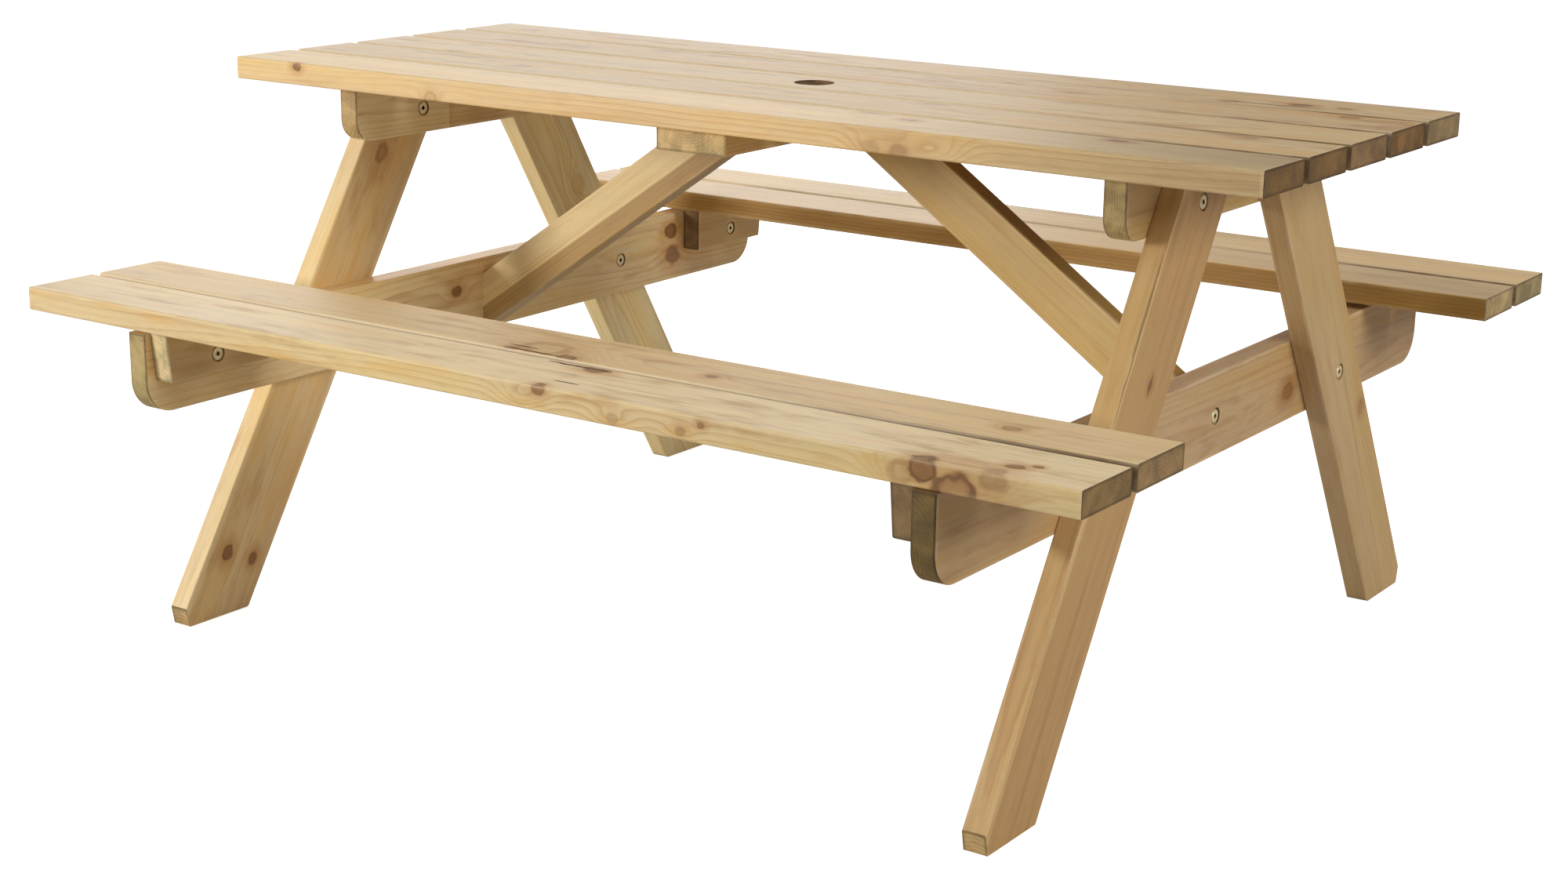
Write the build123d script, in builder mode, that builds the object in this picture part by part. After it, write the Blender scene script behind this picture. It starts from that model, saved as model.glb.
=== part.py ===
"""Timber picnic table: rectangular five-board top, two fixed benches, two raked A-frames.

X runs along the boards, -Y is the front bench side, +Z is up, the origin is on the ground under the middle.
"""
import math
import os

from build123d import *

os.makedirs("parts", exist_ok=True)

# ---------------------------------------------------------------- driving dimensions (mm)
length = 1620.0            # length of the top boards and of the bench boards
height = 756.0             # ground to the upper face of the top
seat_height = 479.0        # ground to the upper face of a bench
thick = 32.0               # thickness of every timber
board_w = 112.0            # width of top boards, bench boards and batten
top_gap = 12.5             # gap between top boards
bench_gap = 12.0           # gap between the two boards of a bench
bench_inner = 470.0        # centre line to the inner edge of a bench
ease = 3.0                 # rounding along the long edges of the boards
ease_frame = 2.5           # rounding along the long edges of the frame timbers

frame_x = 630.0            # plane where the legs meet the beams
leg_w = 114.0              # leg width, measured square to its length
leg_rake = 31.93           # rake of a leg from the vertical, degrees
leg_foot_y = 564.3         # leg centre line at ground level
toe_y = 609.3              # end of the flat foot
toe_h = 27.0               # height of the plumb cut on the toe
heel_cut = 4.0             # small cut on the inner corner of the foot

seat_beam_h = 112.0        # depth of the seat beam
seat_beam_drop = 8.0       # the benches rest on the cleats, this far above the seat beam
seat_beam_half = 692.0     # half length of the seat beam
seat_beam_r = 45.0         # rounded lower corner of the seat beam
top_beam_h = 78.0          # depth of the top beam
top_beam_half = 280.0      # half length of the top beam
top_beam_r = 32.0          # rounded lower corner of the top beam

cleat_h = 72.0             # depth of a bench cleat
cleat_inner = 500.0        # inner end of a cleat
cleat_outer = 684.0        # outer end of a cleat along its upper edge
cleat_slant = 8.0          # how much shorter the lower edge of a cleat is

batten_half = 285.0        # half length of the centre batten
hole_d = 56.0              # parasol hole through centre board and batten

brace_w = 72.0             # brace width, measured square to its length
brace_slope = 0.684        # fall of the brace per unit of length
brace_ref_x = 93.6         # a point on the lower edge of the brace
brace_ref_z = 672.0

# fasteners
head_d = 18.0              # flange of bolts, sleeve nuts and coach screws
head_t = 3.0
recess_d = 23.0            # recess round a flange
recess_t = 3.6
socket_af = 6.0            # hexagon socket across flats
socket_t = 2.0
bolt_d = 7.0               # bolt shank
sleeve_d = 9.6             # outer barrel of a sleeve nut
sleeve_len = 24.0
sleeve_bore_d = 7.4
sleeve_bore_len = 26.0
coach_d = 6.0              # coach screw shank
play = 0.4                 # drilled holes are this much wider than what passes through
screw_d = 5.0              # wood screw shank
screw_head_d = 9.6
screw_head_t = 4.4
pocket_d = 11.0            # pocket drilled in a narrow edge for a screw head
bite = 22.0                # how far wood screws enter the boards

top_under = height - thick
seat_under = seat_height - thick
beam_in = frame_x - thick
leg_out = frame_x + thick
rake_tan = math.tan(math.radians(leg_rake))
leg_half_y = leg_w / 2 / math.cos(math.radians(leg_rake))

top_joint_y = 140.0        # bolts joining legs and top beams
top_joint_z = 682.0
seat_joint_y = 328.0       # bolts joining legs and seat beams
seat_joint_z = 381.0
cleat_bolt_y = 593.0       # coach screws holding the cleats
cleat_bolt_z = 400.0
brace_bolt_z = 381.0       # coach screws holding the lower ends of the braces

board_pitch = board_w + top_gap
board_rows = [-2 * board_pitch, -board_pitch, 0.0, board_pitch, 2 * board_pitch]
bench_in_row = bench_inner + board_w / 2
bench_out_row = bench_in_row + board_w + bench_gap
batten_screw_x = 40.0
beam_screw_x = beam_in + thick / 2
cleat_screw_x = beam_in - thick / 2
cleat_screw_rows = [541.0, 644.0]
brace_screw_x = 112.0


def save(part, name):
    part.label = name
    export_step(part, "parts/" + name + ".step")


def leg_edge(z, side):
    """Distance of a leg edge from the centre line at height z; side +1 outer, -1 inner."""
    return leg_foot_y - rake_tan * z + side * leg_half_y


# ---------------------------------------------------------------- five top boards
top_names = ["top_board_1_front", "top_board_2", "top_board_3_centre", "top_board_4", "top_board_5_back"]
for index, name in enumerate(top_names):
    row = board_rows[index]
    with BuildPart() as top_board:
        with BuildSketch(Plane.YZ.offset(-length / 2)):
            with Locations((row, top_under + thick / 2)):
                RectangleRounded(board_w, thick, ease)
        extrude(amount=length)
        # blind screw holes from below: batten in the middle, top beams near the ends
        with BuildSketch(Plane.XY.offset(top_under)):
            with Locations((-batten_screw_x, row), (batten_screw_x, row)):
                Circle((screw_d + play) / 2)
            with Locations((-beam_screw_x, row), (beam_screw_x, row)):
                Circle((screw_d + play) / 2)
            if index == 2:
                with Locations((-brace_screw_x, row), (brace_screw_x, row)):
                    Circle((screw_d + play) / 2)
        extrude(amount=bite + 1.0, mode=Mode.SUBTRACT)
        if index == 2:
            with BuildSketch(Plane.XY.offset(top_under - 1.0)):
                Circle(hole_d / 2)
            extrude(amount=thick + 2.0, mode=Mode.SUBTRACT)
    save(top_board.part, name)

# ---------------------------------------------------------------- four bench boards
bench_rows = [("bench_front_outer_board", -bench_out_row, -cleat_screw_rows[1]),
              ("bench_front_inner_board", -bench_in_row, -cleat_screw_rows[0]),
              ("bench_back_inner_board", bench_in_row, cleat_screw_rows[0]),
              ("bench_back_outer_board", bench_out_row, cleat_screw_rows[1])]
for name, row, screw_row in bench_rows:
    with BuildPart() as bench_board:
        with BuildSketch(Plane.YZ.offset(-length / 2)):
            with Locations((row, seat_under + thick / 2)):
                RectangleRounded(board_w, thick, ease)
        extrude(amount=length)
        with BuildSketch(Plane.XY.offset(seat_under)):
            with Locations((-cleat_screw_x, screw_row), (cleat_screw_x, screw_row)):
                Circle((screw_d + play) / 2)
        extrude(amount=bite + 1.0, mode=Mode.SUBTRACT)
    save(bench_board.part, name)

# ---------------------------------------------------------------- four raked legs
for end_name, end in (("left", -1), ("right", 1)):
    for side_name, side in (("front", -1), ("back", 1)):
        heel_y = leg_edge(heel_cut, -1)
        outline = [(side * leg_edge(top_under, -1), top_under),
                   (side * leg_edge(top_under, 1), top_under),
                   (side * leg_edge(toe_h, 1), toe_h),
                   (side * toe_y, 0.0),
                   (side * (heel_y + heel_cut * 1.4), 0.0),
                   (side * heel_y, heel_cut)]
        with BuildPart() as leg:
            with BuildSketch(Plane.YZ.offset(min(end * frame_x, end * leg_out))):
                with BuildLine():
                    Polyline(*outline, close=True)
                make_face()
            extrude(amount=thick)
            long_edges = leg.edges().filter_by(
                lambda e: abs(abs(e.tangent_at(0.5).Y) - math.sin(math.radians(leg_rake))) < 0.01)
            fillet(long_edges, ease_frame)
            # bolt holes with a shallow recess on the outer face
            with BuildSketch(Plane.YZ.offset(min(end * frame_x, end * leg_out))):
                with Locations((side * top_joint_y, top_joint_z), (side * seat_joint_y, seat_joint_z)):
                    Circle((sleeve_d + play) / 2)
            extrude(amount=thick, mode=Mode.SUBTRACT)
            recess_low = leg_out - recess_t if end > 0 else -leg_out
            with BuildSketch(Plane.YZ.offset(recess_low)):
                with Locations((side * top_joint_y, top_joint_z), (side * seat_joint_y, seat_joint_z)):
                    Circle(recess_d / 2)
            extrude(amount=recess_t, mode=Mode.SUBTRACT)
        save(leg.part, "leg_" + end_name + "_" + side_name)

# ---------------------------------------------------------------- seat beams and top beams
for end_name, end in (("left", -1), ("right", 1)):
    low_x = min(end * beam_in, end * frame_x)
    inner_recess = beam_in if end > 0 else -beam_in - recess_t
    outer_recess = frame_x - recess_t if end > 0 else -frame_x
    with BuildPart() as seat_beam:
        with BuildSketch(Plane.YZ.offset(low_x)) as seat_profile:
            with Locations((0, seat_under - seat_beam_drop - seat_beam_h / 2)):
                Rectangle(2 * seat_beam_half, seat_beam_h)
            fillet(seat_profile.vertices().group_by(Axis.Y)[0], seat_beam_r)
        extrude(amount=thick)
        fillet(seat_beam.faces().sort_by(Axis.Z)[0].edges().filter_by(Axis.Y), ease_frame)
        with BuildSketch(Plane.YZ.offset(low_x)):
            with Locations((-seat_joint_y, seat_joint_z), (seat_joint_y, seat_joint_z)):
                Circle((sleeve_d + play) / 2)
            with Locations((0, brace_bolt_z)):
                Circle((coach_d + play) / 2)
        extrude(amount=thick, mode=Mode.SUBTRACT)
        with BuildSketch(Plane.YZ.offset(inner_recess)):
            with Locations((-seat_joint_y, seat_joint_z), (seat_joint_y, seat_joint_z)):
                Circle(recess_d / 2)
        extrude(amount=recess_t, mode=Mode.SUBTRACT)
        with BuildSketch(Plane.YZ.offset(outer_recess)):
            with Locations((0, brace_bolt_z)):
                Circle(recess_d / 2)
        extrude(amount=recess_t, mode=Mode.SUBTRACT)
        # blind holes for the coach screws of the cleats
        with BuildSketch(Plane.YZ.offset(end * beam_in)):
            with Locations((-cleat_bolt_y, cleat_bolt_z), (cleat_bolt_y, cleat_bolt_z)):
                Circle((coach_d + play) / 2)
        extrude(amount=end * 23.0, mode=Mode.SUBTRACT)
    save(seat_beam.part, "seat_beam_" + end_name)

    with BuildPart() as top_beam:
        with BuildSketch(Plane.YZ.offset(low_x)) as top_profile:
            with Locations((0, top_under - top_beam_h / 2)):
                Rectangle(2 * top_beam_half, top_beam_h)
            fillet(top_profile.vertices().group_by(Axis.Y)[0], top_beam_r)
        extrude(amount=thick)
        fillet(top_beam.faces().sort_by(Axis.Z)[0].edges().filter_by(Axis.Y), ease_frame)
        with BuildSketch(Plane.YZ.offset(low_x)):
            with Locations((-top_joint_y, top_joint_z), (top_joint_y, top_joint_z)):
                Circle((sleeve_d + play) / 2)
        extrude(amount=thick, mode=Mode.SUBTRACT)
        with BuildSketch(Plane.YZ.offset(inner_recess)):
            with Locations((-top_joint_y, top_joint_z), (top_joint_y, top_joint_z)):
                Circle(recess_d / 2)
        extrude(amount=recess_t, mode=Mode.SUBTRACT)
        # screw holes up through the beam, with a pocket for each head in the lower edge
        with BuildSketch(Plane.XY.offset(top_under - top_beam_h)):
            with Locations(*[(end * beam_screw_x, row) for row in board_rows]):
                Circle((screw_d + play) / 2)
        extrude(amount=top_beam_h, mode=Mode.SUBTRACT)
        with BuildSketch(Plane.XY.offset(top_under - top_beam_h)):
            with Locations(*[(end * beam_screw_x, row) for row in board_rows]):
                Circle(pocket_d / 2)
        extrude(amount=40.0, mode=Mode.SUBTRACT)
    save(top_beam.part, "top_beam_" + end_name)

# ---------------------------------------------------------------- four bench cleats
for end_name, end in (("left", -1), ("right", 1)):
    for side_name, side in (("front", -1), ("back", 1)):
        outline = [(side * cleat_inner, seat_under),
                   (side * cleat_outer, seat_under),
                   (side * (cleat_outer - cleat_slant), seat_under - cleat_h),
                   (side * cleat_inner, seat_under - cleat_h)]
        low_x = min(end * beam_in, end * (beam_in - thick))
        recess_low = beam_in - thick if end > 0 else -(beam_in - thick) - recess_t
        with BuildPart() as cleat:
            with BuildSketch(Plane.YZ.offset(low_x)):
                with BuildLine():
                    Polyline(*outline, close=True)
                make_face()
            extrude(amount=thick)
            fillet(cleat.faces().sort_by(Axis.Z)[0].edges().filter_by(Axis.Y), ease_frame)
            with BuildSketch(Plane.YZ.offset(low_x)):
                with Locations((side * cleat_bolt_y, cleat_bolt_z)):
                    Circle((coach_d + play) / 2)
            extrude(amount=thick, mode=Mode.SUBTRACT)
            with BuildSketch(Plane.YZ.offset(recess_low)):
                with Locations((side * cleat_bolt_y, cleat_bolt_z)):
                    Circle(recess_d / 2)
            extrude(amount=recess_t, mode=Mode.SUBTRACT)
            with BuildSketch(Plane.XY.offset(seat_under - cleat_h)):
                with Locations(*[(end * cleat_screw_x, side * row) for row in cleat_screw_rows]):
                    Circle((screw_d + play) / 2)
            extrude(amount=cleat_h, mode=Mode.SUBTRACT)
            with BuildSketch(Plane.XY.offset(seat_under - cleat_h)):
                with Locations(*[(end * cleat_screw_x, side * row) for row in cleat_screw_rows]):
                    Circle(pocket_d / 2)
            extrude(amount=36.0, mode=Mode.SUBTRACT)
        save(cleat.part, "bench_cleat_" + end_name + "_" + side_name)

# ---------------------------------------------------------------- centre batten under the top
with BuildPart() as batten:
    with BuildSketch(Plane.XZ.offset(-batten_half)):
        with Locations((0, top_under - thick / 2)):
            RectangleRounded(board_w, thick, ease_frame)
    extrude(amount=2 * batten_half)
    with BuildSketch(Plane.XY.offset(top_under - thick - 1.0)):
        Circle(hole_d / 2)
        for row in board_rows:
            with Locations((-batten_screw_x, row), (batten_screw_x, row)):
                Circle((screw_d + play) / 2)
    extrude(amount=thick + 2.0, mode=Mode.SUBTRACT)
    with BuildSketch(Plane.XY.offset(top_under - thick)):
        for row in board_rows:
            with Locations((-batten_screw_x, row), (batten_screw_x, row)):
                Circle((screw_head_d + play) / 2)
    extrude(amount=screw_head_t + 0.4, mode=Mode.SUBTRACT)
save(batten.part, "centre_batten")

# ---------------------------------------------------------------- two diagonal braces
brace_rise = brace_w * math.sqrt(1 + brace_slope ** 2)
batten_face = board_w / 2
brace_low_end = brace_ref_z - brace_slope * (beam_in - brace_ref_x)
brace_low_top = brace_ref_z - brace_slope * (batten_face - brace_ref_x)
brace_top_x = brace_ref_x + (brace_ref_z + brace_rise - top_under) / brace_slope
for end_name, end in (("left", -1), ("right", 1)):
    outline = [(end * batten_face, brace_low_top),
               (end * batten_face, top_under),
               (end * brace_top_x, top_under),
               (end * beam_in, brace_low_end + brace_rise),
               (end * beam_in, brace_low_end)]
    with BuildPart() as brace:
        with BuildSketch(Plane.XZ.offset(-thick / 2)):
            with BuildLine():
                Polyline(*outline, close=True)
            make_face()
        extrude(amount=thick)
        slope_sin = brace_slope / math.sqrt(1 + brace_slope ** 2)
        long_edges = brace.edges().filter_by(lambda e: abs(abs(e.tangent_at(0.5).Z) - slope_sin) < 0.01)
        fillet(long_edges, ease_frame)
        # blind hole for the coach screw in the lower end
        with BuildSketch(Plane.YZ.offset(end * beam_in)):
            with Locations((0, brace_bolt_z)):
                Circle((coach_d + play) / 2)
        extrude(amount=-end * 59.0, mode=Mode.SUBTRACT)
        # screw hole up into the centre board, head in a pocket in the lower edge
        with BuildSketch(Plane.XY.offset(top_under - 120.0)):
            with Locations((end * brace_screw_x, 0)):
                Circle((screw_d + play) / 2)
        extrude(amount=120.0, mode=Mode.SUBTRACT)
        with BuildSketch(Plane.XY.offset(top_under - 120.0)):
            with Locations((end * brace_screw_x, 0)):
                Circle(pocket_d / 2)
        extrude(amount=120.0 - 46.0, mode=Mode.SUBTRACT)
    save(brace.part, "brace_" + end_name)


# ---------------------------------------------------------------- bolts and sleeve nuts
def joint_bolts(name, spots):
    """Flanged socket bolts: flange in the recess on the outer face, shank running inwards."""
    with BuildPart() as bolts:
        for end in (-1, 1):
            seat = end * (leg_out - recess_t)
            with BuildSketch(Plane.YZ.offset(seat)):
                with Locations(*spots):
                    Circle(head_d / 2)
            extrude(amount=end * head_t)
            rim = bolts.edges().filter_by(GeomType.CIRCLE).filter_by(
                lambda e: abs(e.radius - head_d / 2) < 0.01 and abs(e.center().X - seat - end * head_t) < 0.01)
            fillet(rim, 0.9)
            with BuildSketch(Plane.YZ.offset(seat)):
                with Locations(*spots):
                    Circle(bolt_d / 2)
            extrude(amount=-end * 52.0)
            with BuildSketch(Plane.YZ.offset(seat + end * head_t)):
                with Locations(*spots):
                    RegularPolygon(socket_af / 2, 6, major_radius=False)
            extrude(amount=-end * socket_t, mode=Mode.SUBTRACT)
    save(bolts.part, name)


def sleeve_nuts(name, spots):
    """Flanged sleeve nuts: flange in the recess on the inner face, bored barrel running outwards."""
    with BuildPart() as nuts:
        for end in (-1, 1):
            seat = end * (beam_in + recess_t)
            with BuildSketch(Plane.YZ.offset(seat)):
                with Locations(*spots):
                    Circle(head_d / 2)
            extrude(amount=-end * head_t)
            rim = nuts.edges().filter_by(GeomType.CIRCLE).filter_by(
                lambda e: abs(e.radius - head_d / 2) < 0.01 and abs(e.center().X - seat + end * head_t) < 0.01)
            fillet(rim, 0.9)
            with BuildSketch(Plane.YZ.offset(seat)):
                with Locations(*spots):
                    Circle(sleeve_d / 2)
            extrude(amount=end * sleeve_len)
            with BuildSketch(Plane.YZ.offset(seat + end * sleeve_len)):
                with Locations(*spots):
                    Circle(sleeve_bore_d / 2)
            extrude(amount=-end * sleeve_bore_len, mode=Mode.SUBTRACT)
            with BuildSketch(Plane.YZ.offset(seat - end * head_t)):
                with Locations(*spots):
                    RegularPolygon(socket_af / 2, 6, major_radius=False)
            extrude(amount=end * socket_t, mode=Mode.SUBTRACT)
    save(nuts.part, name)


top_spots = [(-top_joint_y, top_joint_z), (top_joint_y, top_joint_z)]
seat_spots = [(-seat_joint_y, seat_joint_z), (seat_joint_y, seat_joint_z)]
joint_bolts("bolts_leg_to_top_beam", top_spots)
joint_bolts("bolts_leg_to_seat_beam", seat_spots)
sleeve_nuts("sleeve_nuts_top_beam", top_spots)
sleeve_nuts("sleeve_nuts_seat_beam", seat_spots)


# ---------------------------------------------------------------- coach screws
def coach_screws(name, face_x, facing, spots, reach):
    """Flanged coach screws whose flange lies in a recess in the face at face_x, looking along facing."""
    with BuildPart() as screws:
        for end in (-1, 1):
            seat = end * (face_x - facing * recess_t)
            out = end * facing
            with BuildSketch(Plane.YZ.offset(seat)):
                with Locations(*spots):
                    Circle(head_d / 2)
            extrude(amount=out * head_t)
            rim = screws.edges().filter_by(GeomType.CIRCLE).filter_by(
                lambda e: abs(e.radius - head_d / 2) < 0.01 and abs(e.center().X - seat - out * head_t) < 0.01)
            fillet(rim, 0.9)
            with BuildSketch(Plane.YZ.offset(seat)):
                with Locations(*spots):
                    Circle(coach_d / 2)
            extrude(amount=-out * reach)
            with BuildSketch(Plane.YZ.offset(seat + out * head_t)):
                with Locations(*spots):
                    RegularPolygon(socket_af / 2, 6, major_radius=False)
            extrude(amount=-out * socket_t, mode=Mode.SUBTRACT)
    save(screws.part, name)


cleat_spots = [(-cleat_bolt_y, cleat_bolt_z), (cleat_bolt_y, cleat_bolt_z)]
coach_screws("coach_screws_cleats", beam_in - thick, -1, cleat_spots, 50.0)
coach_screws("coach_screws_braces", frame_x, 1, [(0, brace_bolt_z)], 86.0)


# ---------------------------------------------------------------- countersunk wood screws driven upwards
def wood_screws(name, spots, head_z, tip_z):
    with BuildPart() as screws:
        with BuildSketch(Plane.XY.offset(head_z)):
            with Locations(*spots):
                Circle(screw_head_d / 2)
        extrude(amount=screw_head_t)
        with BuildSketch(Plane.XY.offset(head_z)):
            with Locations(*spots):
                Circle(screw_d / 2)
        extrude(amount=tip_z - head_z)
        with BuildSketch(Plane.XY.offset(head_z)):
            with Locations(*spots):
                RegularPolygon(2.2, 6, major_radius=False)
        extrude(amount=2.0, mode=Mode.SUBTRACT)
    save(screws.part, name)


beam_spots = [(end * beam_screw_x, row) for end in (-1, 1) for row in board_rows]
wood_screws("screws_top_beams", beam_spots, top_under - top_beam_h + 40.0 - screw_head_t, top_under + bite)
batten_spots = [(end * batten_screw_x, row) for end in (-1, 1) for row in board_rows]
wood_screws("screws_centre_batten", batten_spots, top_under - thick + 0.4, top_under + bite)
bench_spots = [(end * cleat_screw_x, side * row) for end in (-1, 1) for side in (-1, 1) for row in cleat_screw_rows]
wood_screws("screws_bench_cleats", bench_spots, seat_under - cleat_h + 36.0 - screw_head_t, seat_under + bite)
brace_spots = [(-brace_screw_x, 0.0), (brace_screw_x, 0.0)]
wood_screws("screws_braces", brace_spots, top_under - 46.0 - screw_head_t, top_under + bite)
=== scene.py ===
"""Looks of the timber picnic table: planed, pressure-treated pine and yellow-zinc fasteners.

Every timber keeps its CAD shape. Its material is one solid block of wood in the timber's own axes: growth
rings round a wandering pith, fibres, knots that the rings bend round, drying cracks, end grain and the tint
of the pressure treatment. Lengths are metres and noise scales are waves per metre, unless a comment differs.
"""

import math
import random
import zlib
from types import SimpleNamespace

import bpy
from mathutils import Matrix, Vector


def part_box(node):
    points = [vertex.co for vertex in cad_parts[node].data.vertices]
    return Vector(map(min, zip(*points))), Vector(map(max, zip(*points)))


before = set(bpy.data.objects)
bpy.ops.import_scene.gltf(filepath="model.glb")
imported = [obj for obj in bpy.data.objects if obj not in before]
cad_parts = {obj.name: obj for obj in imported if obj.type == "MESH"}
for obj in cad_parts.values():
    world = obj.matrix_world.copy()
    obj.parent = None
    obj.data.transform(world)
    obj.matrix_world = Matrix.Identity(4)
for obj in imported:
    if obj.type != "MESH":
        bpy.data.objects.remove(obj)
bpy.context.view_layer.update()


# ------------------------------------------------------------------ small helpers
def srgb(red, green, blue):
    """A colour as a colour picker shows it, 0 to 255, turned into Blender's linear values."""
    linear = []
    for value in (red, green, blue):
        value /= 255
        linear.append(value / 12.92 if value <= 0.04045 else ((value + 0.055) / 1.055) ** 2.4)
    return (*linear, 1.0)


def grey_colour(value):
    return (value, value, value, 1)


class Graph:
    """Short names for building a node tree: nearly every call returns the new node's output socket."""

    def __init__(self, tree):
        self.tree = tree

    def node(self, kind, **settings):
        node = self.tree.nodes.new(kind)
        for name, value in settings.items():
            setattr(node, name, value)
        return node

    def feed(self, socket, value):
        if isinstance(value, bpy.types.NodeSocket):
            self.tree.links.new(value, socket)
        elif value is not None:
            socket.default_value = value

    def math(self, operation, a, b=None, c=None):
        node = self.node("ShaderNodeMath", operation=operation)
        for socket, value in zip(node.inputs, (a, b, c)):
            self.feed(socket, value)
        return node.outputs[0]

    def add(self, a, b):
        return self.math("ADD", a, b)

    def sub(self, a, b):
        return self.math("SUBTRACT", a, b)

    def mul(self, a, b):
        return self.math("MULTIPLY", a, b)

    def absolute(self, a):
        return self.math("ABSOLUTE", a)

    def most(self, a, b):
        return self.math("MAXIMUM", a, b)

    def least(self, a, b):
        return self.math("MINIMUM", a, b)

    def vector(self, operation, a, b=None, scale=None):
        node = self.node("ShaderNodeVectorMath", operation=operation)
        self.feed(node.inputs[0], a)
        if b is not None:
            self.feed(node.inputs[1], b)
        if scale is not None:
            self.feed(node.inputs["Scale"], scale)
        return node.outputs["Value"] if operation in ("DOT_PRODUCT", "LENGTH") else node.outputs["Vector"]

    def join(self, x, y, z):
        node = self.node("ShaderNodeCombineXYZ")
        for socket, value in zip(node.inputs, (x, y, z)):
            self.feed(socket, value)
        return node.outputs[0]

    def split(self, vector):
        node = self.node("ShaderNodeSeparateXYZ")
        self.feed(node.inputs[0], vector)
        return node.outputs[:]

    def noise(self, vector, detail=2.0, rough=0.5):
        node = self.node("ShaderNodeTexNoise")
        for name, value in (("Vector", vector), ("Scale", 1.0), ("Detail", detail), ("Roughness", rough)):
            self.feed(node.inputs[name], value)
        return node.outputs["Fac"]

    def smooth(self, value, start, end, low=0.0, high=1.0):
        """A soft step from low to high as value goes from start to end. It needs no clamp: Cycles would
        work out a clamp late and hold everything before it in its shader stack, which is too short for a
        board of knots."""
        node = self.node("ShaderNodeMapRange", interpolation_type="SMOOTHSTEP", clamp=False)
        for socket, item in zip(node.inputs, (value, start, end, low, high)):
            self.feed(socket, item)
        return node.outputs[0]

    def ramp(self, value, stops):
        node = self.node("ShaderNodeValToRGB")
        elements = node.color_ramp.elements
        while len(elements) < len(stops):
            elements.new(0.5)
        for element, (place, level) in zip(elements, stops):
            element.position = place
            element.color = grey_colour(level)
        self.feed(node.inputs[0], value)
        return node.outputs[0]

    def mix(self, factor, a, b, blend="MIX"):
        node = self.node("ShaderNodeMix", data_type="RGBA", blend_type=blend)
        self.feed(node.inputs[0], factor)
        self.feed(node.inputs[6], a)
        self.feed(node.inputs[7], b)
        return node.outputs[2]

    def tint(self, amount, colour, by):
        return self.mix(amount, colour, by, "MULTIPLY")

    def shade(self, colour, value):
        """The colour made lighter or darker by a value, where 1 leaves it as it is."""
        return self.tint(1.0, colour, self.join(value, value, value))

    def bump(self, height):
        """A surface normal for a relief whose height is in metres."""
        node = self.node("ShaderNodeBump")
        self.feed(node.inputs["Distance"], 1.0)
        self.feed(node.inputs["Height"], height)
        return node.outputs[0]

    def group(self, tree, **values):
        node = self.node("ShaderNodeGroup", node_tree=tree)
        for name, value in values.items():
            self.feed(node.inputs[name.replace("_", " ")], value)
        return node.outputs


def new_group(name, inputs, outputs):
    """An empty node group, from {name: socket type}: its graph, its inputs and where its outputs go."""
    tree = bpy.data.node_groups.new(name, "ShaderNodeTree")
    for label, kind in inputs.items():
        tree.interface.new_socket(label, in_out="INPUT", socket_type="NodeSocket" + kind)
    for label, kind in outputs.items():
        tree.interface.new_socket(label, in_out="OUTPUT", socket_type="NodeSocket" + kind)
    graph = Graph(tree)
    source = graph.node("NodeGroupInput").outputs
    sink = graph.node("NodeGroupOutput").inputs
    return graph, source, sink


def new_material(name):
    """An empty node material: itself, its graph and its shader's inputs."""
    material = bpy.data.materials.new(name)
    material.use_nodes = True
    return material, Graph(material.node_tree), material.node_tree.nodes["Principled BSDF"].inputs


# ------------------------------------------------------------------ a knot
# What a knot hands on to the next one: how far the growth rings are pushed outwards, how strongly a core, a
# bark ring and a halo show (0 to 1), and the radius of the knot's own rings.
KNOT_STATE = {"Warp": "Float", "Core": "Float", "Rim": "Float", "Halo": "Float", "Rings": "Float"}
KNOT_OVAL = (0.74, 1.0, 1.0)                  # a knot is longer along the grain
KNOT_FLOW = (1 / 3.6, 1 / 1.7, 1 / 1.7)       # the rings bend further along the grain than across it


def build_knot_group():
    """One branch in the wood, near its centre only. It bends the rings and adds a core, bark and a halo."""
    g, i, o = new_group(
        "knot",
        {"Local": "Vector", "Ragged": "Float", "Centre": "Vector", "Axis": "Vector", "Radius": "Float",
         "Dark": "Float", "Bark": "Float", **KNOT_STATE},
        KNOT_STATE)
    from_centre = g.vector("SUBTRACT", i["Local"], i["Centre"])
    axial = g.vector("DOT_PRODUCT", from_centre, i["Axis"])
    across = g.vector("SUBTRACT", from_centre, g.vector("SCALE", i["Axis"], scale=axial))
    oval = g.vector("MULTIPLY", across, KNOT_OVAL)
    # from here on, reach and buried are counted in radii of the knot
    reach = g.math("DIVIDE", g.vector("LENGTH", oval), i["Radius"])
    reach = g.add(reach, i["Ragged"])
    buried = g.math("DIVIDE", g.absolute(axial), i["Radius"])
    reach = g.add(reach, g.smooth(buried, 1.2, 3.2, 0.0, 2.0))
    inside = g.smooth(reach, 1.15, 0.75)
    core = g.mul(inside, i["Dark"])
    rim = g.mul(g.mul(g.smooth(reach, 0.50, 0.92), g.smooth(reach, 1.42, 1.0)), i["Bark"])
    halo = g.mul(g.smooth(reach, 3.6, 0.8), g.most(i["Dark"], i["Bark"]))
    flow = g.vector("LENGTH", g.vector("MULTIPLY", across, KNOT_FLOW))
    spread = g.math("POWER", g.math("DIVIDE", flow, i["Radius"]), 2.0)
    push = g.mul(g.math("EXPONENT", g.mul(spread, -1.0)), g.mul(i["Radius"], g.sub(1.5, i["Dark"])))
    g.feed(o["Warp"], g.add(i["Warp"], g.mul(push, g.smooth(buried, 3.5, 1.5))))
    g.feed(o["Core"], g.most(i["Core"], core))
    g.feed(o["Rim"], g.most(i["Rim"], rim))
    g.feed(o["Halo"], g.most(i["Halo"], halo))
    own_rings = g.mul(inside, g.mul(reach, i["Radius"]))
    g.feed(o["Rings"], g.most(i["Rings"], own_rings))
    return g.tree


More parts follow.
